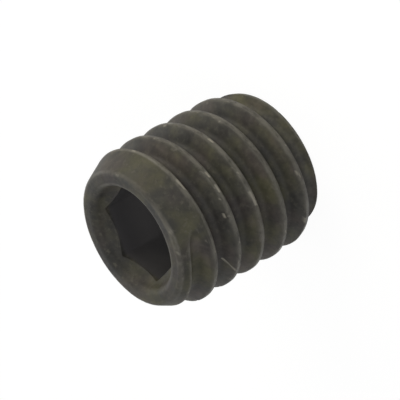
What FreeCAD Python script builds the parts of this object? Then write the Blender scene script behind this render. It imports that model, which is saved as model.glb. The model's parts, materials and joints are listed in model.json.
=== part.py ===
"""Hex socket set screw, M4 x 4: one turned, threaded and broached piece of steel.

Millimetres. +Z is the screw's axis. The origin is the centre of the point end's flat,
so the screw stands on that end with its socket upwards.
"""
import FreeCAD, Part
import math
import os

from FreeCAD import Vector

# Overall
LENGTH = 4.1               # point end's flat to socket end's flat: M4 x 4, within its tolerance
THREAD_DIAMETER = 3.85     # over the crests: M4, near the low limit of its tolerance

# Thread: metric coarse, right hand
PITCH = 0.7
THREAD_DEPTH = 0.35        # crest to root
CREST_FLAT = 0.11          # rolled a little short of a full crest
FLANK_ANGLE = 30           # degrees, each flank to the plane across the axis
RUNOUT_ANGLE = 40          # degrees about +Z, where the groove's helix would meet the socket end
GROOVE_START = 0.415       # socket end to the groove's middle, where it has come to its full depth
LEAD_IN_HEIGHT = 0.06      # rise of the helix over which the groove comes in from the chamfer
LEAD_IN_DEPTH = 0.28       # how far the groove comes in over that rise

# Socket end: a flat ring between the recess and a long chamfer
RING_DIAMETER = 3.24
SOCKET_CHAMFER_LENGTH = 0.61
RING_EDGE_RADIUS = 0.11

# Recess round the socket: a steep wall, soft at its lip and its foot, and a conical floor
LIP_DIAMETER = 2.56        # where the wall would meet the ring without their radius
LIP_RADIUS = 0.18
FOOT_DIAMETER = 2.37       # where the wall would meet the floor without their radius
FOOT_DEPTH = 0.25
FOOT_RADIUS = 0.28
RECESS_FLOOR_ANGLE = 120   # degrees, included

# Hex socket: drilled, then broached, with corners on +X and -X
KEY_SIZE = 2.02            # across flats, for a 2 mm key
SOCKET_DEPTH = 1.9         # ring to the end of the flats
DRILL_DIAMETER = 1.98
DRILL_TIP_ANGLE = 118      # degrees, included

# Point end: flat, with a chamfer
POINT_DIAMETER = 3.48
POINT_CHAMFER_LENGTH = 0.58
POINT_EDGE_RADIUS = 0.1

CLEARANCE = 0.05           # how far the cutters stand outside the metal that they cut


def cone_depth(radius, included_angle):
    """Height of a cone of this base radius and included angle, in degrees."""
    return radius / math.tan(math.radians(included_angle / 2))


def rounded_face(corners):
    """Face in the XZ plane through corners of (x, z, radius), each one rounded by its radius."""
    edges = []
    ends = []
    for index, (x, z, radius) in enumerate(corners):
        corner = Vector(x, 0, z)
        before = Vector(corners[index - 1][0], 0, corners[index - 1][1])
        after = Vector(corners[(index + 1) % len(corners)][0], 0, corners[(index + 1) % len(corners)][1])
        if radius == 0:
            ends.append((corner, corner))
            continue
        inward = (before - corner).normalize()
        outward = (after - corner).normalize()
        half_angle = inward.getAngle(outward) / 2
        start = corner + inward * (radius / math.tan(half_angle))
        end = corner + outward * (radius / math.tan(half_angle))
        centre = corner + (inward + outward).normalize() * (radius / math.sin(half_angle))
        middle = centre + (corner - centre).normalize() * radius
        edges.append(Part.Arc(start, middle, end).toShape())
        ends.append((start, end))
    for (_, leave), (arrive, _) in zip(ends, ends[1:] + ends[:1]):
        edges.append(Part.LineSegment(leave, arrive).toShape())
    return Part.Face(Part.Wire(Part.__sortEdges__(edges)))


def turned_blank():
    """The bar as it leaves the lathe: chamfered at both ends, drilled and recessed."""
    thread_radius = THREAD_DIAMETER / 2
    drill_radius = DRILL_DIAMETER / 2
    foot_radius = FOOT_DIAMETER / 2
    hole_bottom = LENGTH - SOCKET_DEPTH
    drill_tip = hole_bottom - cone_depth(drill_radius, DRILL_TIP_ANGLE)
    foot_height = LENGTH - FOOT_DEPTH
    floor_bottom = foot_height - cone_depth(foot_radius - drill_radius, RECESS_FLOOR_ANGLE)
    section = rounded_face([
        (0, 0, 0),
        (POINT_DIAMETER / 2, 0, POINT_EDGE_RADIUS),
        (thread_radius, POINT_CHAMFER_LENGTH, 0),
        (thread_radius, LENGTH - SOCKET_CHAMFER_LENGTH, 0),
        (RING_DIAMETER / 2, LENGTH, RING_EDGE_RADIUS),
        (LIP_DIAMETER / 2, LENGTH, LIP_RADIUS),
        (foot_radius, foot_height, FOOT_RADIUS),
        (drill_radius, floor_bottom, 0),
        (drill_radius, hole_bottom, 0),
        (0, drill_tip, 0),
    ])
    return section.revolve(Vector(0, 0, 0), Vector(0, 0, 1), 360)


def groove_section():
    """Section of the thread's groove in the XZ plane: two flanks and a rounded root, open outwards."""
    slope = math.tan(math.radians(FLANK_ANGLE))
    crest_radius = THREAD_DIAMETER / 2
    sharp_depth = (PITCH - CREST_FLAT) / 2 / slope
    half_width = (sharp_depth + CLEARANCE) * slope
    return rounded_face([
        (crest_radius + CLEARANCE, -half_width, 0),
        (crest_radius - sharp_depth, 0, sharp_depth - THREAD_DEPTH),
        (crest_radius + CLEARANCE, half_width, 0),
    ])


def swept_groove(rise, spread=0):
    """The groove along a helix that climbs by this rise, and opens outwards by this spread in degrees."""
    # The pitch and height of a helix on a cone are given along the cone's slope.
    slope = 1 / math.cos(math.radians(spread))
    helix = Part.makeHelix(PITCH * slope, rise * slope, THREAD_DIAMETER / 2, spread)
    return Part.Wire(helix.Edges).makePipeShell([groove_section().OuterWire], True, True)


def thread_cutters():
    """Cutters for the groove: its lead-in on the socket end's chamfer, then one for each turn below it.
    Each turn is a cut of its own, because one long helical cut isn't dependable."""
    spread = math.degrees(math.atan2(LEAD_IN_DEPTH, LEAD_IN_HEIGHT))
    cutters = [swept_groove(LEAD_IN_HEIGHT, spread)]
    turns = math.ceil((LENGTH - GROOVE_START) / PITCH + 0.5)
    for turn in range(1, turns + 1):
        cutter = swept_groove(PITCH)
        cutter.translate(Vector(0, 0, -turn * PITCH))
        cutters.append(cutter)
    for cutter in cutters:
        cutter.rotate(Vector(0, 0, 0), Vector(0, 0, 1), RUNOUT_ANGLE - 360 * GROOVE_START / PITCH)
        cutter.translate(Vector(0, 0, LENGTH - GROOVE_START))
    return cutters


def broached_hexagon():
    """The hexagonal prism that the broach clears, from above the ring down to the socket's depth."""
    corner_radius = KEY_SIZE / math.sqrt(3)
    angles = [math.radians(60 * corner) for corner in range(6)]
    points = [Vector(corner_radius * math.cos(a), corner_radius * math.sin(a), LENGTH - SOCKET_DEPTH)
              for a in angles]
    face = Part.Face(Part.makePolygon(points + points[:1]))
    return face.extrude(Vector(0, 0, SOCKET_DEPTH + CLEARANCE))


def cut(body, cutter):
    """The body less a cutter. Stops where the cut has failed, which can otherwise pass unnoticed."""
    rest = body.cut(cutter)
    removed = body.Volume - rest.Volume
    if not 0.0001 < removed < cutter.Volume or not rest.isValid() or len(rest.Solids) != 1:
        raise RuntimeError("a cut failed: it removed %.4f mm3" % removed)
    return rest


def set_screw():
    """The whole screw as one solid."""
    screw = turned_blank()
    for cutter in thread_cutters():
        screw = cut(screw, cutter)
    return cut(screw, broached_hexagon())


def main():
    os.makedirs("parts", exist_ok=True)
    screw = set_screw()
    print("valid", screw.isValid(), "solids", len(screw.Solids), "faces", len(screw.Faces))
    print("volume %.3f mm3" % screw.Volume)
    screw.Solids[0].exportStep("parts/set_screw.step")


main()
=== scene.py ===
import json
import math

import bpy
from bpy.props import FloatProperty, FloatVectorProperty, IntProperty, PointerProperty
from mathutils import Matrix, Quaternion, Vector


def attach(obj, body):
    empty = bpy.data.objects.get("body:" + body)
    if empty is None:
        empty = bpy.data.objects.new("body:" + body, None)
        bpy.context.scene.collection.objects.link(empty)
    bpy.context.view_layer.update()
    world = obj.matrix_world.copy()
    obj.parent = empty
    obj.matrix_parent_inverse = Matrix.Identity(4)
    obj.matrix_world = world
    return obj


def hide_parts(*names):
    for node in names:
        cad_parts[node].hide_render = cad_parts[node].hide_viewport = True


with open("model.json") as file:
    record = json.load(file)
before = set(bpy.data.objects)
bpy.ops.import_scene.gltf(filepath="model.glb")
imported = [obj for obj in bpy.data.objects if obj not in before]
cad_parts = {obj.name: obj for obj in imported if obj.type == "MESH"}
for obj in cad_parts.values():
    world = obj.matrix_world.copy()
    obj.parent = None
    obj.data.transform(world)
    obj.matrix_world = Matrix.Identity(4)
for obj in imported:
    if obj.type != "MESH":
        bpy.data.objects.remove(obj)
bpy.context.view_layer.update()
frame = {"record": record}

bl_info = {
    "name": "Hex Socket Set Screw",
    "version": (1, 0, 0),
    "blender": (4, 5, 0),
    "location": "3D View > Sidebar > Set Screw",
    "description": "Makes a headless hex socket screw in black oxide steel, and a stage to show it on",
    "category": "Add Mesh",
}

MM = 0.001
TURN = 2 * math.pi
CAD_NODE = "set_screw"
CAD_SIZE = frame["record"]["size"]["bbox_m"]

# How the surface is meshed: the rows of faces in each band, then what joins and shades them.
POINT_FACE_ROWS = 20
MOUTH_ROWS = 34
FLATS_ROWS = 24
DRILL_TIP_ROWS = 12
CORNER_POINTS = 12                # in each rounded corner of an outline
MERGE_DISTANCE = 2e-7
SHARP_ANGLE = math.radians(38)    # flatter edges than this are shaded smooth

# The side's band of faces ends this far in from the edge of the ring, and of the point end's flat.
RING_INSET = 0.12 * MM
POINT_INSET = 0.2 * MM

SHOULDER_ROUNDING = 0.05 * MM     # between a chamfer and the crests
GROOVE_RISE = 1.5                 # how far the groove's shallow start rises, in thread depths
LENGTHENING = 2.2                 # dents and streaks are longer round the screw than along it
SURROUNDINGS = 12                 # rounds of blurring that give a point its surroundings
HIGHLIGHT_SIDE = (0.0, -1.0, 0.0)    # the side of the socket's lip that gets the painted highlight

# Chips and scratches down to bare steel: from one angle and depth to another, in degrees about the axis
# and millimetres below the socket end, then half the width in millimetres.
CHIPS = (
    (-113, 0.67, -120, 0.70, 0.040),
    (-98, 2.03, -101, 2.04, 0.030),
    (-118, 1.36, -121, 1.37, 0.025),
    (-128, 1.38, -133, 1.39, 0.025),
    (-143, 2.09, -152, 2.13, 0.035),
    (-147, 1.30, -150, 1.31, 0.012),
    (172, 1.26, 164, 1.45, 0.015),
)


# ---------------------------------------------------------------------------------------------
# Settings

def length_setting(name, description, millimetres):
    """A length that a user can change, given in millimetres and kept in metres."""
    return FloatProperty(name=name, description=description, default=millimetres * MM,
                         min=0.0, unit="LENGTH", precision=5)


def angle_setting(name, description, degrees):
    """An angle that a user can change, given in degrees and kept in radians."""
    return FloatProperty(name=name, description=description, default=math.radians(degrees),
                         subtype="ANGLE")


def share_setting(name, description, share):
    """A share from 0 to 1 that a user can change."""
    return FloatProperty(name=name, description=description, default=share,
                         min=0.0, max=1.0, subtype="FACTOR")


def colour_setting(name, description, colour):
    """A linear colour that a user can change."""
    return FloatVectorProperty(name=name, description=description, default=colour, size=3,
                               min=0.0, max=1.0, subtype="COLOR")


class SetScrewSizes(bpy.types.PropertyGroup):
    """Sizes of the screw, which stands on its point end with its axis along +Z."""

    length: length_setting("Length", "Point end's flat to socket end's flat", CAD_SIZE[2] / MM)
    crest_diameter: length_setting("Crest Diameter", "Thread, over its crests", CAD_SIZE[0] / MM)
    pitch: length_setting("Pitch", "From one crest to the next", 0.7)
    thread_depth: length_setting("Thread Depth", "Crest to root", 0.35)
    crest_flat: length_setting("Crest Flat", "Width of the flat that the crests end in", 0.11)
    crest_rounding: length_setting("Crest Rounding", "How far the crests' edges are rounded over", 0.04)
    flank_angle: angle_setting("Flank Angle", "Each flank to the plane across the axis", 30)
    runout_angle: angle_setting("Run-out Angle", "Where the groove's helix meets the socket end", 40)
    groove_start: length_setting("Groove Start", "Socket end to the groove's middle, at its start", 0.29)
    groove_lead: length_setting("Groove Lead", "Rise over which the groove comes to its depth", 0.14)
    point_diameter: length_setting("Point Diameter", "Flat of the point end", 3.48)
    point_chamfer: length_setting("Point Chamfer", "Length of the point end's chamfer", 0.58)
    point_rounding: length_setting("Point Rounding", "Radius between the point's flat and chamfer", 0.1)
    ring_diameter: length_setting("Ring Diameter", "Flat ring of the socket end", 3.24)
    ring_chamfer: length_setting("Ring Chamfer", "Length of the socket end's chamfer", 0.61)
    ring_rounding: length_setting("Ring Rounding", "Radius between the ring and its chamfer", 0.11)
    mouth_diameter: length_setting("Mouth Diameter", "Recess, where its wall meets the ring", 2.56)
    foot_diameter: length_setting("Foot Diameter", "Recess, where its wall meets its floor", 2.37)
    foot_depth: length_setting("Foot Depth", "Ring to the foot of the recess's wall", 0.25)
    mouth_rounding: length_setting("Mouth Rounding", "Radius between the ring and the recess's wall", 0.18)
    foot_rounding: length_setting("Foot Rounding", "Radius between the recess's wall and its floor", 0.28)
    floor_angle: angle_setting("Recess Floor Angle", "Included angle of the recess's floor", 120)
    key_size: length_setting("Key Size", "Hexagon across its flats", 2.02)
    key_rounding: length_setting("Key Rounding", "How far the hexagon's corners are rounded over", 0.06)
    socket_depth: length_setting("Socket Depth", "Ring to the end of the flats", 1.9)
    drill_diameter: length_setting("Drill Diameter", "Drilled hole below the hexagon", 1.98)
    drill_tip_angle: angle_setting("Drill Tip Angle", "Included angle of the hole's end", 118)
    waviness: length_setting("Waviness", "How far the rolled faces wander", 0.008)
    nick_depth: length_setting("Nick Depth", "Depth of the dents along the edges", 0.012)
    grain: length_setting("Grain", "Height of the oxide's grain", 0.003)


class SetScrewMesh(bpy.types.PropertyGroup):
    """How finely the screw is meshed."""

    columns: IntProperty(name="Columns", description="Faces round the axis, a multiple of six",
                         default=312, min=36, max=600, step=6)
    rows_per_pitch: IntProperty(name="Rows per Pitch", description="Faces from one crest to the next, "
                                "a multiple of sixteen", default=32, min=16, max=64)


class SetScrewFinish(bpy.types.PropertyGroup):
    """Colours of the finish, with the painted highlights and painted light on it."""

    oxide: colour_setting("Oxide", "Black oxide, where it is plain", (0.047, 0.0455, 0.040))
    olive: colour_setting("Olive Oxide", "Black oxide, where it is yellower", (0.0595, 0.0565, 0.0325))
    brown: colour_setting("Brown Oxide", "Black oxide, where it is browner", (0.056, 0.047, 0.043))
    dust: colour_setting("Dust", "Dry dust on the oxide", (0.105, 0.100, 0.082))
    worn: colour_setting("Worn Edge and Painted Highlight", "Edges rubbed thin, and painted highlights", (0.150, 0.142, 0.120))
    bare: colour_setting("Bare Steel", "Nicks that go through the oxide", (0.32, 0.30, 0.25))
    socket: colour_setting("Socket Oxide", "Black oxide inside the socket", (0.061, 0.059, 0.061))
    # Colour of the painted light deep in the socket.
    settled: colour_setting("Painted Light Deep in Socket", "Paler colour deep in the socket, painted light in its shade", (0.165, 0.158, 0.158))


class SetScrewStudio(bpy.types.PropertyGroup):
    """Camera and lights of the stage."""

    camera_aim: FloatVectorProperty(name="Camera Aim", description="Point that the camera looks at",
                                    default=(-0.009 * MM, -0.005 * MM, 2.035 * MM), size=3, subtype="XYZ",
                                    unit="LENGTH", precision=6)
    camera_azimuth: angle_setting("Camera Azimuth", "Camera about +Z, from +X", -131.3)
    camera_elevation: angle_setting("Camera Elevation", "Camera above the floor", 32.2)
    camera_roll: angle_setting("Camera Roll", "Turn of the camera about its own line of sight", -119.7)
    camera_distance: length_setting("Camera Distance", "Camera to the point that it looks at", 43.5)
    camera_lens: FloatProperty(name="Camera Lens", description="Focal length on a 36 mm wide sensor",
                               default=174.4, min=10.0, unit="CAMERA")
    ambient: share_setting("Ambient", "Brightness of the room round the stage", 0.25)


# ---------------------------------------------------------------------------------------------
# Node trees, written as expressions

class Wire:
    """An output socket of a node tree. Arithmetic on it adds Math nodes, or Vector Math on a vector."""

    def __init__(self, tree, socket):
        self.tree = tree
        self.socket = socket

    def arithmetic(self, operation, first, second):
        wires = [item for item in (first, second) if isinstance(item, Wire)]
        vector = any(wire.socket.type == "VECTOR" for wire in wires)
        kind = "ShaderNodeVectorMath" if vector else "ShaderNodeMath"
        return self.tree.add(kind, {"operation": operation}, {0: first, 1: second})

    def __add__(self, other):
        return self.arithmetic("ADD", self, other)

    def __sub__(self, other):
        return self.arithmetic("SUBTRACT", self, other)

    def __mul__(self, other):
        return self.arithmetic("MULTIPLY", self, other)

    def __truediv__(self, other):
        return self.arithmetic("DIVIDE", self, other)

    def __radd__(self, other):
        return self.arithmetic("ADD", other, self)

    def __rsub__(self, other):
        return self.arithmetic("SUBTRACT", other, self)

    def __rmul__(self, other):
        return self.arithmetic("MULTIPLY", other, self)

    def __rtruediv__(self, other):
        return self.arithmetic("DIVIDE", other, self)

    def __neg__(self):
        return 0.0 - self


class Tree:
    """A node tree whose nodes all come from add()."""

    def __init__(self, owner):
        self.nodes = owner.nodes
        self.links = owner.links
        self.nodes.clear()

    def add(self, kind, settings=None, sockets=None, output=0):
        """A new node: its type, its settings, then the value or link of each socket, by place or name.
        Returns the output asked for, by place or name, or the node itself where output is None."""
        node = self.nodes.new(kind)
        for name, value in (settings or {}).items():
            setattr(node, name, value)
        for key, value in (sockets or {}).items():
            self.feed(self.find(node.inputs, key), value)
        return node if output is None else Wire(self, self.find(node.outputs, output))

    def feed(self, socket, value):
        """Links a wire to a socket, or several where the value is a list of wires, or sets a plain value."""
        if isinstance(value, Wire):
            self.links.new(value.socket, socket)
        elif isinstance(value, list):
            for wire in value:
                self.links.new(wire.socket, socket)
        elif socket.type == "VECTOR" and isinstance(value, (int, float)):
            socket.default_value = (value, value, value)
        else:
            socket.default_value = value

    @staticmethod
    def find(sockets, key):
        """A socket by its place in the list, its identifier, or its name among those in use."""
        if isinstance(key, int):
            return sockets[key]
        exact = [socket for socket in sockets if socket.identifier == key]
        named = [socket for socket in sockets if socket.name == key and socket.enabled]
        return (exact + named)[0]

    def math(self, operation, *values):
        """A Math node on one, two or three values."""
        return self.add("ShaderNodeMath", {"operation": operation}, dict(enumerate(values)))

    def smooth_step(self, value, low, high):
        """0 up to low, 1 from high on, and a soft rise between them."""
        return self.add("ShaderNodeMapRange", {"interpolation_type": "SMOOTHSTEP"},
                        {"Value": value, "From Min": low, "From Max": high})

    def mix(self, factor, first, second):
        """One number or another, or a share of each."""
        return self.add("ShaderNodeMix", {"data_type": "FLOAT"}, {"Factor": factor, "A": first, "B": second})

    def mix_colour(self, factor, first, second, blend="MIX"):
        """One colour over another."""
        return self.add("ShaderNodeMix", {"data_type": "RGBA", "blend_type": blend},
                        {"Factor_Float": factor, "A_Color": first, "B_Color": second}, "Result_Color")

    def noise(self, place, scale, detail=2.0, roughness=0.5, seed=0.0):
        """Noise from about 0.25 to 0.75, with this many waves to a metre."""
        return self.add("ShaderNodeTexNoise", {"noise_dimensions": "4D"}, {
            "Vector": place, "W": seed, "Scale": scale, "Detail": detail, "Roughness": roughness})

    def lengthened(self, place):
        """A place to sample a noise at, so that its marks are longer round the screw than along it."""
        return place * self.vector(1.0, 1.0, LENGTHENING)

    def vector(self, x, y, z):
        """A vector from its three parts."""
        return self.add("ShaderNodeCombineXYZ", {}, {"X": x, "Y": y, "Z": z})

    def parts(self, vector):
        """The three parts of a vector."""
        node = self.add("ShaderNodeSeparateXYZ", {}, {0: vector}, None)
        return [Wire(self, socket) for socket in node.outputs]

    def from_axis(self, x, y):
        """How far a point lies from the axis."""
        return self.math("SQRT", x * x + y * y)

    def seen(self):
        """1 for what the camera sees, mirrored or through glass too, and 0 for what only gives light."""
        path = self.add("ShaderNodeLightPath", {}, {}, None)
        camera, glossy, transmission = (Wire(self, path.outputs[name]) for name in (
            "Is Camera Ray", "Is Glossy Ray", "Is Transmission Ray"))
        return self.math("MAXIMUM", self.math("MAXIMUM", camera, glossy), transmission)


# ---------------------------------------------------------------------------------------------
# The screw's shape: bands of faces round the axis, ruled between an outline's points

class ScrewTree(Tree):
    """The Geometry Nodes that make the screw, from the sizes as its named inputs."""

    def __init__(self, group, sizes, mesh):
        super().__init__(group)
        self.group = group
        group.is_modifier = True
        group.interface.new_socket("Geometry", in_out="OUTPUT", socket_type="NodeSocketGeometry")
        self.identifiers = {}
        for owner in (sizes, mesh):
            for key in owner.__annotations__:
                self.add_input(key, owner.bl_rna.properties[key])
        material = group.interface.new_socket("Material", in_out="INPUT", socket_type="NodeSocketMaterial")
        self.identifiers["material"] = material.identifier
        self.entry = self.nodes.new("NodeGroupInput")

    def add_input(self, key, setting):
        """A named input of the tree for one of the settings."""
        kind = {"FLOAT": "NodeSocketFloat", "INT": "NodeSocketInt"}[setting.type]
        socket = self.group.interface.new_socket(setting.name, in_out="INPUT", socket_type=kind)
        socket.description = setting.description
        socket.default_value = setting.default
        self.identifiers[key] = socket.identifier

    def size(self, key):
        """The wire of one of the tree's inputs."""
        return Wire(self, self.find(self.entry.outputs, self.identifiers[key]))

    def outline(self, corners):
        """A curve in the plane of radius and height through corners of (radius, height, rounding)."""
        index = self.add("GeometryNodeInputIndex")
        places = {"Index": index}
        roundings = {"Index": index}
        for order, (radius, height, rounding) in enumerate(corners):
            places[1 + order] = self.vector(radius, 0.0, height)
            roundings[1 + order] = rounding
        place = self.choice("VECTOR", len(corners), places)
        rounding = self.choice("FLOAT", len(corners), roundings)
        points = self.add("GeometryNodePoints", {}, {
            "Count": len(corners), "Position": place, "Radius": rounding})
        curve = self.add("GeometryNodePointsToCurves", {}, {"Points": points})
        radius = self.add("GeometryNodeInputRadius")
        return self.add("GeometryNodeFilletCurve", {"mode": "POLY"}, {
            "Curve": curve, "Count": CORNER_POINTS, "Radius": radius, "Limit Radius": False})

    def choice(self, kind, count, sockets):
        """One of several values, by the index of the point."""
        node = self.nodes.new("GeometryNodeIndexSwitch")
        node.data_type = kind
        while len(node.index_switch_items) < count:
            node.index_switch_items.new()
        for key, value in sockets.items():
            self.feed(self.find(node.inputs, key), value)
        return Wire(self, node.outputs[0])

    def outline_length(self, curve):
        """The length of an outline."""
        return self.add("GeometryNodeCurveLength", {}, {"Curve": curve})

    def along_outline(self, curve, distance):
        """The radius and height of the point this far along an outline."""
        place = self.add("GeometryNodeSampleCurve", {"mode": "LENGTH"},
                         {"Curves": curve, "Length": distance}, "Position")
        radius, _, height = self.parts(place)
        return radius, height

    def band(self, rows, placed):
        """A strip of faces all round the axis. placed(around, along) gives the radius and height of its
        points, where around and along run from 0 to 1 over the strip."""
        grid = self.add("GeometryNodeMeshGrid", {}, {
            "Size X": 1.0, "Size Y": 1.0, "Vertices X": self.size("columns") + 1, "Vertices Y": rows + 1})
        across, up, _ = self.parts(self.add("GeometryNodeInputPosition"))
        around = across + 0.5
        along = up + 0.5
        radius, height = placed(around, along)
        angle = around * TURN
        place = self.vector(radius * self.math("COSINE", angle), radius * self.math("SINE", angle), height)
        return self.add("GeometryNodeSetPosition", {}, {"Geometry": grid, "Position": place})

    def ruled_band(self, rows, first, second):
        """A band of straight lines between two rings, each a radius and a height."""
        return self.band(rows, lambda around, along: (
            self.mix(along, first(around)[0], second(around)[0]),
            self.mix(along, first(around)[1], second(around)[1])))

    def groove_offset(self, around, height):
        """Height above the middle of the nearest turn of the groove."""
        pitch = self.size("pitch")
        middle = self.size("length") + pitch * (around - self.size("runout_angle") / TURN)
        return self.math("WRAP", height - middle, pitch / 2, -pitch / 2)

    def groove_radius(self, around, height):
        """Radius of the thread's groove: a rounded root, two straight flanks, and its shallow start."""
        pitch = self.size("pitch")
        flank = self.size("flank_angle")
        slope = self.math("TANGENT", flank)
        sharp_depth = (pitch - self.size("crest_flat")) / 2 / slope
        lean = self.math("SINE", flank)
        root_radius = (sharp_depth - self.size("thread_depth")) * lean / (1 - lean)
        tangent = root_radius * self.math("COSINE", flank)
        signed_offset = self.groove_offset(around, height)
        offset = self.math("ABSOLUTE", signed_offset)
        inner = self.math("MINIMUM", offset, tangent)
        outer = self.math("MAXIMUM", offset - tangent, 0.0)
        arc = self.math("SQRT", root_radius * root_radius - inner * inner)
        apex = self.size("crest_diameter") / 2 - sharp_depth
        start = self.size("length") - self.size("groove_start")
        started = self.smooth_step(height - signed_offset, start - self.size("groove_lead"), start)
        section = apex + root_radius / lean - arc + outer / slope
        return section + started * self.size("thread_depth") * GROOVE_RISE

    def key_radius(self, around):
        """Radius of the hexagon's walls, with its corners on +X and -X."""
        sixth = TURN / 6
        apothem = self.size("key_size") / 2
        turn = self.math("WRAP", around * TURN - sixth / 2, sixth / 2, -sixth / 2)
        near = apothem / self.math("COSINE", turn)
        far = apothem / self.math("COSINE", sixth - self.math("ABSOLUTE", turn))
        return self.math("SMOOTH_MIN", near, far, self.size("key_rounding"))

    def side(self, outline_up, outline_down):
        """The threaded side, in rows that run along the thread."""
        pitch = self.size("pitch")
        step = pitch / self.size("rows_per_pitch")
        middle = self.size("length") / 2
        up = self.outline_length(outline_up)
        down = self.outline_length(outline_down)
        rows = self.math("CEIL", (up + down + pitch) / step) + 2
        start_phase = self.size("length") - pitch * self.size("runout_angle") / TURN - middle
        lowest = -down - pitch - step
        first_row = start_phase + self.math("CEIL", (lowest - start_phase) / step) * step

        def placed(around, along):
            distance = first_row + along * rows * step + pitch * around
            distance = self.snapped(distance, -down, up, step / 2)
            distance_up = self.math("MAXIMUM", distance, 0.0)
            distance_down = self.math("MAXIMUM", -distance, 0.0)
            above_radius, above_height = self.along_outline(outline_up, distance_up)
            below_radius, below_height = self.along_outline(outline_down, distance_down)
            is_above = self.math("GREATER_THAN", distance, 0.0)
            radius = self.mix(is_above, below_radius, above_radius)
            height = self.mix(is_above, below_height, above_height)
            groove = self.groove_radius(around, height)
            return self.math("SMOOTH_MIN", radius, groove, self.size("crest_rounding")), height

        return self.band(rows, placed)

    def snapped(self, value, low, high, reach):
        """Keeps a value between two limits, and moves one within reach of a limit onto it."""
        to_high = self.math("GREATER_THAN", value, high - reach)
        to_low = self.math("LESS_THAN", value, low + reach)
        return self.mix(to_low, self.mix(to_high, value, high), low)

    def socket_mouth(self, rows, ring_start):
        """Ring, rounded mouth and the recess's floor, down to where the hexagon cuts it."""
        mouth = self.size("mouth_diameter") / 2
        foot = self.size("foot_diameter") / 2
        drill = self.size("drill_diameter") / 2
        half = self.size("floor_angle") / 2
        length = self.size("length")
        foot_height = length - self.size("foot_depth")
        bottom = foot_height - (foot - drill) / self.math("TANGENT", half)
        outline = self.outline([(ring_start, length, 0.0), (mouth, length, self.size("mouth_rounding")),
                                (foot, foot_height, self.size("foot_rounding")), (drill, bottom, 0.0)])
        whole = self.outline_length(outline)

        def cut_length(around):
            return whole - (self.key_radius(around) - drill) / self.math("SINE", half)

        def brink(around):
            return self.along_outline(outline, cut_length(around))

        band = self.band(rows, lambda around, along: self.along_outline(outline, along * cut_length(around)))
        return band, brink

    def socket_hole(self, brink):
        """The hexagon's flats, the floor below them and the drill's cone."""
        drill = self.size("drill_diameter") / 2
        floor = self.size("length") - self.size("socket_depth")
        tip = floor - drill / self.math("TANGENT", self.size("drill_tip_angle") / 2)

        def flats_end(around):
            return self.key_radius(around), floor

        def drill_edge(around):
            return drill, floor

        def drill_tip(around):
            return 0.0, tip

        return [self.ruled_band(FLATS_ROWS, brink, flats_end), self.ruled_band(1, flats_end, drill_edge),
                self.ruled_band(DRILL_TIP_ROWS, drill_edge, drill_tip)]

    def screw(self):
        """The whole surface, as a closed mesh."""
        length = self.size("length")
        crest = self.size("crest_diameter") / 2
        point = self.size("point_diameter") / 2
        ring = self.size("ring_diameter") / 2
        upper_shoulder = length - self.size("ring_chamfer")
        ring_start = ring - RING_INSET
        point_start = point - POINT_INSET
        up = self.outline([(crest, length / 2, 0.0), (crest, upper_shoulder, SHOULDER_ROUNDING),
                           (ring, length, self.size("ring_rounding")), (ring_start, length, 0.0)])
        lower_shoulder = self.size("point_chamfer")
        down = self.outline([(crest, length / 2, 0.0), (crest, lower_shoulder, SHOULDER_ROUNDING),
                             (point, 0.0, self.size("point_rounding")), (point_start, 0.0, 0.0)])
        face = self.ruled_band(POINT_FACE_ROWS, lambda around: (0.0, 0.0), lambda around: (point_start, 0.0))
        side = self.side(up, down)
        mouth, brink = self.socket_mouth(MOUTH_ROWS, ring_start)
        joined = self.add("GeometryNodeJoinGeometry", {},
                          {"Geometry": [face, side, mouth] + self.socket_hole(brink)})
        return self.add("GeometryNodeMergeByDistance", {}, {"Geometry": joined, "Distance": MERGE_DISTANCE})

    def proudness(self):
        """How far the surface stands proud of its surroundings, in metres: high on edges, low in hollows."""
        place = self.add("GeometryNodeInputPosition")
        around = self.add("GeometryNodeBlurAttribute", {"data_type": "FLOAT_VECTOR"}, {
            "Value": place, "Iterations": SURROUNDINGS})
        normal = self.add("GeometryNodeInputNormal")
        return self.along(place - around, normal)

    def along(self, vector, axis):
        """How far a vector reaches along an axis."""
        return self.add("ShaderNodeVectorMath", {"operation": "DOT_PRODUCT"}, {0: vector, 1: axis}, "Value")

    def outside(self, radius):
        """1 on the outside and the ring, 0 in the socket."""
        lip = self.size("mouth_diameter") / 2
        return self.smooth_step(radius, lip - 0.03 * MM, lip + 0.03 * MM)

    def chip(self, around, height, first_angle, first_depth, last_angle, last_depth, half_width):
        """One chip or scratch, from 0 to 1: a straight stroke on the unrolled side."""
        radius = self.size("crest_diameter") / 2
        turned = self.math("WRAP", around * TURN - math.radians(first_angle), math.pi, -math.pi)
        along = turned * radius
        down = self.size("length") - height - first_depth * MM
        reach = radius * math.radians(last_angle - first_angle)
        drop = (last_depth - first_depth) * MM
        share = (along * reach + down * drop) / (reach * reach + drop * drop)
        share = self.math("MINIMUM", self.math("MAXIMUM", share, 0.0), 1.0)
        off_along = along - share * reach
        off_down = down - share * drop
        distance = self.math("SQRT", off_along * off_along + off_down * off_down)
        return 1 - self.smooth_step(distance, 0.5 * half_width * MM, 1.3 * half_width * MM)

    def nicks(self):
        """Chips, scratches and small dents along the edges, from 0 to 1."""
        place = self.add("GeometryNodeInputPosition")
        x, y, height = self.parts(place)
        around = self.math("ARCTAN2", y, x) / TURN
        dents = self.noise(self.lengthened(place), 4500.0, 2.0, seed=3.0)
        on_edge = self.smooth_step(self.proudness(), 0.004 * MM, 0.014 * MM)
        marks = self.smooth_step(dents, 0.62, 0.7) * on_edge * 0.7
        for chip in CHIPS:
            marks = self.math("MAXIMUM", marks, self.chip(around, height, *chip))
        return marks * self.outside(self.from_axis(x, y))

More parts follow.
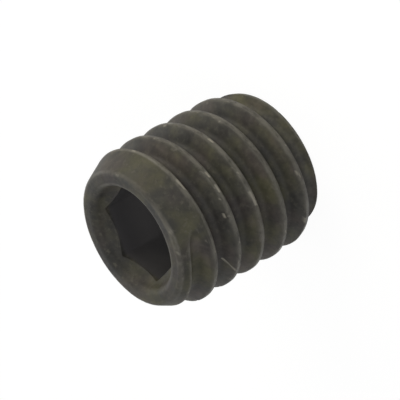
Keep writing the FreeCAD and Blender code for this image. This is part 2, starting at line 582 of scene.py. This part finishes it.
    def crest_wear(self, place, around, height, proud):
        """Wear along the crests, and a painted highlight on them, with a wandering edge."""
        offset = self.groove_offset(around, height)
        wander = (self.noise(place, 3000.0, 3.0, seed=7.0) - 0.5) * 0.1 * MM
        from_crest = self.size("pitch") / 2 - self.math("ABSOLUTE", offset) + wander
        # Painted highlight along the crests, as well as their wear.
        crest = 1 - self.smooth_step(from_crest, 0.0, 0.12 * MM)
        return crest * self.smooth_step(proud, 0.002 * MM, 0.008 * MM)

    def lip_wear(self, place, radius, near_top):
        """A painted highlight round the socket's lip, strongest on one side, where the light falls."""
        from_lip = self.math("ABSOLUTE", radius - self.size("mouth_diameter") / 2 - 0.03 * MM)
        on_lip = 1 - self.smooth_step(from_lip, 0.02 * MM, 0.07 * MM)
        # The painted highlight is kept to one side of the lip.
        side = self.along(place / radius, HIGHLIGHT_SIDE)
        return near_top * on_lip * self.smooth_step(side, 0.0, 0.9) * 0.75

    def wear(self):
        """How far the oxide is rubbed off, from 0 to 1, with painted highlights: wear and a painted
        highlight on the crests and both ends' edges, and a painted highlight on the lip.
        """
        place = self.add("GeometryNodeInputPosition")
        x, y, height = self.parts(place)
        around = self.math("ARCTAN2", y, x) / TURN
        radius = self.from_axis(x, y)
        length = self.size("length")
        proud = self.proudness()
        near_top = self.smooth_step(height, length - 0.45 * MM, length - 0.35 * MM)
        near_floor = 1 - self.smooth_step(height, 0.05 * MM, 0.2 * MM)
        on_edge = self.smooth_step(proud, 0.004 * MM, 0.015 * MM)
        # Edges at both ends: wear, and a painted highlight.
        edge = self.math("MAXIMUM", near_top, near_floor) * on_edge * 0.8
        worn = self.math("MAXIMUM", self.crest_wear(place, around, height, proud), edge)
        worn = self.math("MAXIMUM", worn, self.lip_wear(place, radius, near_top))
        return worn * self.outside(radius)

    def roughened(self, geometry):
        """The surface as it is made and knocked about: wavy, grained, and nicked along its edges."""
        place = self.add("GeometryNodeInputPosition")
        wave = self.noise(place, 1300.0, 2.0, seed=1.0) - 0.5
        grain = self.noise(place, 14000.0, 2.0, seed=2.0) - 0.5
        height = (wave * self.size("waviness") + grain * self.size("grain")) * 2
        height = height - self.nicks() * self.size("nick_depth")
        normal = self.add("GeometryNodeInputNormal")
        offset = self.add("ShaderNodeVectorMath", {"operation": "SCALE"}, {0: normal, "Scale": height})
        return self.add("GeometryNodeSetPosition", {}, {"Geometry": geometry, "Offset": offset})

    def with_attribute(self, geometry, name, value):
        """Keeps a value at each point, for the material to read."""
        return self.add("GeometryNodeStoreNamedAttribute", {"data_type": "FLOAT", "domain": "POINT"},
                        {"Geometry": geometry, "Name": name, "Value": value})

    def with_attributes(self, geometry):
        """Keeps the wear with its painted highlights, and the nicks, which the material reads."""
        geometry = self.with_attribute(geometry, "wear", self.wear())
        return self.with_attribute(geometry, "nick", self.nicks())

    def finish(self, geometry):
        """Realizes the geometry, gives it its material and makes it the tree's output."""
        real = self.add("GeometryNodeRealizeInstances", {}, {"Geometry": geometry})
        painted = self.add("GeometryNodeSetMaterial", {},
                           {"Geometry": real, "Material": self.size("material")})
        self.add("NodeGroupOutput", {}, {0: painted}, None)


def shaded(tree, geometry, sharp_angle):
    """Smooth shading, apart from edges sharper than this."""
    smooth = tree.add("GeometryNodeSetShadeSmooth", {"domain": "FACE"},
                      {"Geometry": geometry, "Shade Smooth": True})
    angle = tree.add("GeometryNodeInputMeshEdgeAngle")
    sharp = tree.math("GREATER_THAN", angle, sharp_angle)
    return tree.add("GeometryNodeSetShadeSmooth", {"domain": "EDGE"},
                    {"Geometry": smooth, "Selection": sharp, "Shade Smooth": False})


def screw_tree():
    """The Geometry Nodes group that makes the screw."""
    group = bpy.data.node_groups.new("Set Screw", "GeometryNodeTree")
    tree = ScrewTree(group, SetScrewSizes, SetScrewMesh)
    surface = tree.roughened(tree.with_attributes(tree.screw()))
    tree.finish(shaded(tree, surface, SHARP_ANGLE))
    return group, tree.identifiers


def baked_piece(name, group, values):
    """An object whose mesh is what the group makes from these values, with no modifier left on it."""
    piece = bpy.data.objects.new(name, bpy.data.meshes.new(name))
    bpy.context.scene.collection.objects.link(piece)
    modifier = piece.modifiers.new("Shape", "NODES")
    modifier.node_group = group
    for identifier, value in values.items():
        modifier[identifier] = value
    evaluated = piece.evaluated_get(bpy.context.evaluated_depsgraph_get())
    mesh = bpy.data.meshes.new_from_object(evaluated)
    piece.modifiers.clear()
    piece.data = mesh
    mesh.name = name
    if mesh.materials[0] is None:
        mesh.materials.pop(index=0)
    return piece


# ---------------------------------------------------------------------------------------------
# Materials

class OxideTree(Tree):
    """The shader of black oxide on steel, built up in layers of colour, some of them painted light, shade
    and highlights.
    """

    def __init__(self, node_tree, finish, sizes):
        super().__init__(node_tree)
        self.finish = finish
        self.sizes = sizes
        self.place = self.add("ShaderNodeTexCoord", {}, {}, "Object")
        x, y, self.height = self.parts(self.place)
        self.radius = self.from_axis(x, y)
        self.wear = self.attribute("wear")
        self.nick = self.attribute("nick")
        self.broad = self.noise(self.place, 900.0, 2.0, seed=81.0)
        self.patchy = self.noise(self.place, 2800.0, 3.0, 0.6, seed=52.0)
        self.speckle = self.noise(self.place, 9000.0, 3.0, 0.6, seed=73.0)
        top = sizes.length
        self.socket_end = self.smooth_step(self.height, top - 0.7 * MM, top - 0.55 * MM)

    def attribute(self, name):
        """A value that the mesh keeps at each point."""
        return self.add("ShaderNodeAttribute", {"attribute_name": name}, {}, "Fac")

    def groove_depth(self):
        """How deep a point lies in the thread's groove: 0 on the blank that it is cut in, 1 at the root."""
        sizes = self.sizes
        crest = sizes.crest_diameter / 2
        ring = sizes.ring_diameter / 2
        point = sizes.point_diameter / 2
        upper = ring + (sizes.length - self.height) * ((crest - ring) / sizes.ring_chamfer)
        lower = point + self.height * ((crest - point) / sizes.point_chamfer)
        blank = self.math("MINIMUM", self.math("MINIMUM", upper, lower), crest)
        on_thread = self.smooth_step(self.radius, ring - RING_INSET, ring - 0.08 * MM)
        return (blank - self.radius) / sizes.thread_depth * on_thread

    def mottled(self):
        """Plain oxide with yellower and browner patches."""
        finish = self.finish
        yellowish = self.smooth_step(self.broad * 0.75 + self.patchy * 0.25, 0.4, 0.62)
        colour = self.mix_colour(yellowish, (*finish.oxide, 1.0), (*finish.olive, 1.0))
        brownish = self.smooth_step(self.noise(self.place, 1200.0, 2.0, seed=114.0), 0.42, 0.64)
        return self.mix_colour(brownish * 0.8, colour, (*finish.brown, 1.0))

    def toned(self, colour):
        """Darker in the thread's root as painted shade, paler on its flanks and at the point end as painted
        light, and uneven all over.
        """
        groove = self.groove_depth()
        # Painted light on the flanks, painted shade in the root, and painted light at the point end.
        flank = self.smooth_step(groove, 0.05, 0.3)
        root = self.smooth_step(groove, 0.3, 0.95)
        point_end_painted_light = 1 - self.smooth_step(self.height, 0.45 * MM, 0.6 * MM)
        fine = (self.patchy - 0.5) * 1.9 + (self.speckle - 0.5) * 0.8
        mottle = 1.0 + (self.broad - 0.5) * 1.2 + fine * (1.0 + self.socket_end * 0.3)
        tone_and_painted_light = (0.82 + flank * 0.44 - root * 0.56 + point_end_painted_light * 0.38) * mottle
        return self.mix_colour(1.0, colour, tone_and_painted_light, "MULTIPLY")

    def dusted(self, colour):
        """Dry dust in specks, with more of it on the socket end."""
        dusty = self.smooth_step(self.speckle, 0.52, 0.72) * (0.35 + self.socket_end * 0.25)
        return self.mix_colour(dusty, colour, (*self.finish.dust, 1.0))

    def lined(self, colour):
        """The socket's own colour inside it, made paler towards its bottom by painted light in its shade."""
        top = self.sizes.length
        foot = 0.5 * self.sizes.foot_diameter
        deep = 1 - self.smooth_step(self.height, top - 0.42 * MM, top - 0.3 * MM)
        inside = 1 - self.smooth_step(self.radius, foot - 0.03 * MM, foot)
        # Painted light: paler deep in the socket, where it lies in shade.
        settled = 1 - self.smooth_step(self.height, top - 1.5 * MM, top - 0.5 * MM)
        lining_and_painted_light = self.mix_colour(settled, (*self.finish.socket, 1.0), (*self.finish.settled, 1.0))
        return self.mix_colour(inside * deep, colour, lining_and_painted_light)

    def rubbed(self, colour):
        """Paler where the oxide is rubbed thin and where highlights are painted, in broken streaks, and bare
        steel in the nicks.
        """
        streaks = self.noise(self.lengthened(self.place), 3500.0, 4.0, 0.65, seed=55.0)
        broken = self.smooth_step(streaks, 0.34, 0.6)
        # The worn colour paints both wear and highlights.
        colour = self.mix_colour(self.wear * (broken * 0.75 + 0.27), colour, (*self.finish.worn, 1.0))
        return self.mix_colour(self.nick, colour, (*self.finish.bare, 1.0))

    def shader(self, colour):
        """The matt, finely grained surface."""
        grain = self.noise(self.place, 30000.0, 2.0, 0.6, seed=6.0)
        normal = self.add("ShaderNodeBump", {}, {"Strength": 0.35, "Distance": 0.002 * MM, "Height": grain})
        roughness = 0.62 + (self.speckle - 0.5) * 0.4 - self.wear * 0.1
        return self.add("ShaderNodeBsdfPrincipled", {}, {
            "Base Color": colour, "Roughness": roughness, "Specular IOR Level": 0.3, "Normal": normal})


def black_oxide(finish, sizes):
    """Matt black oxide on steel: mottled and dusty, with painted shade in the thread's root, painted light
    on the flanks, the point end and deep in the socket, and edges rubbed paler and painted with highlights.
    """
    material = bpy.data.materials.new("Black Oxide Steel")
    material.use_nodes = True
    tree = OxideTree(material.node_tree, finish, sizes)
    colour = tree.rubbed(tree.lined(tree.dusted(tree.toned(tree.mottled()))))
    tree.add("ShaderNodeOutputMaterial", {}, {"Surface": tree.shader(colour)}, None)
    return material


def floor_material():
    """White where the camera sees it, darker where the screw shades it, and pale grey as a light source."""
    material = bpy.data.materials.new("White Floor")
    material.use_nodes = True
    tree = Tree(material.node_tree)
    glow = tree.add("ShaderNodeEmission", {}, {"Color": (1.0, 1.0, 1.0, 1.0), "Strength": 0.94})
    shaded_part = tree.add("ShaderNodeBsdfDiffuse", {}, {"Color": (0.12, 0.12, 0.12, 1.0)})
    white = tree.add("ShaderNodeAddShader", {}, {0: glow, 1: shaded_part})
    grey = tree.add("ShaderNodeBsdfDiffuse", {}, {"Color": (0.3, 0.3, 0.3, 1.0)})
    shader = tree.add("ShaderNodeMixShader", {}, {0: tree.seen(), 1: grey, 2: white})
    tree.add("ShaderNodeOutputMaterial", {}, {"Surface": shader}, None)
    return material


# ---------------------------------------------------------------------------------------------
# Stage

SOFTBOX_SIDE = 50 * MM
SOFTBOX_DISTANCE = 60 * MM
FLOOR_HALF_WIDTH = 4.0
FLOOR_DROP = 0.01 * MM            # keeps the floor clear of the point end's waviness


def direction(azimuth, elevation):
    """Unit vector at this azimuth from +X and elevation above the floor."""
    return Vector((math.cos(azimuth) * math.cos(elevation), math.sin(azimuth) * math.cos(elevation),
                   math.sin(elevation)))


def make_camera(studio):
    """The camera, looking at its aim."""
    aim = Vector(studio.camera_aim)
    toward = direction(studio.camera_azimuth, studio.camera_elevation)
    data = bpy.data.cameras.new("Camera")
    data.lens = studio.camera_lens
    data.sensor_width = 36.0
    data.clip_start = 1 * MM
    data.clip_end = 5.0
    camera = bpy.data.objects.new("Camera", data)
    camera.rotation_mode = "QUATERNION"
    camera.location = aim + toward * studio.camera_distance
    level = (-toward).to_track_quat("-Z", "Y")
    camera.rotation_quaternion = level @ Quaternion((0, 0, 1), studio.camera_roll)
    bpy.context.scene.collection.objects.link(camera)
    bpy.context.scene.camera = camera


def make_softbox(name, aim, azimuth, elevation, strength, colour=(1.0, 1.0, 1.0)):
    """A square lamp that faces the aim, as bright as a white card of this strength."""
    data = bpy.data.lights.new(name, "AREA")
    data.shape = "SQUARE"
    data.size = SOFTBOX_SIDE
    data.energy = strength * math.pi * SOFTBOX_SIDE * SOFTBOX_SIDE
    data.color = colour
    lamp = bpy.data.objects.new(name, data)
    toward = direction(math.radians(azimuth), math.radians(elevation))
    lamp.location = aim + toward * SOFTBOX_DISTANCE
    lamp.rotation_mode = "QUATERNION"
    lamp.rotation_quaternion = toward.to_track_quat("Z", "Y")
    lamp.visible_camera = False
    bpy.context.scene.collection.objects.link(lamp)


def make_floor():
    """A wide flat floor just under the point end."""
    corners = [(x * FLOOR_HALF_WIDTH, y * FLOOR_HALF_WIDTH, -FLOOR_DROP)
               for x, y in ((-1, -1), (1, -1), (1, 1), (-1, 1))]
    mesh = bpy.data.meshes.new("floor")
    mesh.from_pydata(corners, [], [(0, 1, 2, 3)])
    mesh.materials.append(floor_material())
    floor = bpy.data.objects.new("floor", mesh)
    bpy.context.scene.collection.objects.link(floor)


def make_world(ambient):
    """A plain pale room: white to the camera, and softer as a source of light."""
    world = bpy.data.worlds.new("Room")
    world.use_nodes = True
    tree = Tree(world.node_tree)
    background = tree.add("ShaderNodeBackground", {}, {
        "Color": (1.0, 1.0, 1.0, 1.0), "Strength": tree.mix(tree.seen(), ambient, 1.0)})
    tree.add("ShaderNodeOutputWorld", {}, {"Surface": background}, None)
    bpy.context.scene.world = world


# ---------------------------------------------------------------------------------------------
# Operators and panel

class SETSCREW_OT_make_screw(bpy.types.Operator):
    """Make the screw in place of its plain model"""

    bl_idname = "set_screw.make_screw"
    bl_label = "Make Set Screw"

    def execute(self, context):
        sizes = context.scene.set_screw_sizes
        mesh = context.scene.set_screw_mesh
        group, identifiers = screw_tree()
        values = {identifiers["material"]: black_oxide(context.scene.set_screw_finish, sizes)}
        for owner in (sizes, mesh):
            for key in type(owner).__annotations__:
                values[identifiers[key]] = getattr(owner, key)
        piece = baked_piece("screw_body", group, values)
        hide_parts(CAD_NODE)
        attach(piece, "root")
        return {"FINISHED"}


class SETSCREW_OT_make_stage(bpy.types.Operator):
    """Make the floor, the lights and the camera"""

    bl_idname = "set_screw.make_stage"
    bl_label = "Make Stage"

    def execute(self, context):
        studio = context.scene.set_screw_studio
        middle = Vector((0, 0, context.scene.set_screw_sizes.length / 2))
        make_floor()
        make_world(studio.ambient)
        make_softbox("Key", middle, azimuth=-55, elevation=8, strength=3.7, colour=(1.0, 0.94, 0.80))
        make_softbox("Side", middle, azimuth=20, elevation=20, strength=1.1)
        make_softbox("Front", middle, azimuth=-150, elevation=30, strength=1.35)
        make_camera(studio)
        context.scene.view_settings.view_transform = "Standard"
        return {"FINISHED"}


class SETSCREW_PT_panel(bpy.types.Panel):
    """Sizes and finish of the screw, and the buttons that make it"""

    bl_label = "Set Screw"
    bl_idname = "SETSCREW_PT_panel"
    bl_space_type = "VIEW_3D"
    bl_region_type = "UI"
    bl_category = "Set Screw"

    def draw(self, context):
        for name, owner in SETTINGS.items():
            group = getattr(context.scene, name)
            box = self.layout.box()
            for key in owner.__annotations__:
                box.prop(group, key)
        for operator in OPERATORS:
            self.layout.operator(operator.bl_idname)


SETTINGS = {
    "set_screw_sizes": SetScrewSizes,
    "set_screw_mesh": SetScrewMesh,
    "set_screw_finish": SetScrewFinish,
    "set_screw_studio": SetScrewStudio,
}
OPERATORS = (SETSCREW_OT_make_screw, SETSCREW_OT_make_stage)
CLASSES = (*SETTINGS.values(), *OPERATORS, SETSCREW_PT_panel)


def register():
    """Adds the settings, operators and panel."""
    for item in CLASSES:
        bpy.utils.register_class(item)
    for name, owner in SETTINGS.items():
        setattr(bpy.types.Scene, name, PointerProperty(type=owner))


def unregister():
    """Takes away what register added."""
    for name in SETTINGS:
        delattr(bpy.types.Scene, name)
    for item in reversed(CLASSES):
        bpy.utils.unregister_class(item)


def main():
    """Makes the screw and its stage."""
    register()
    bpy.ops.set_screw.make_screw()
    bpy.ops.set_screw.make_stage()


if __name__ == "__main__":
    main()
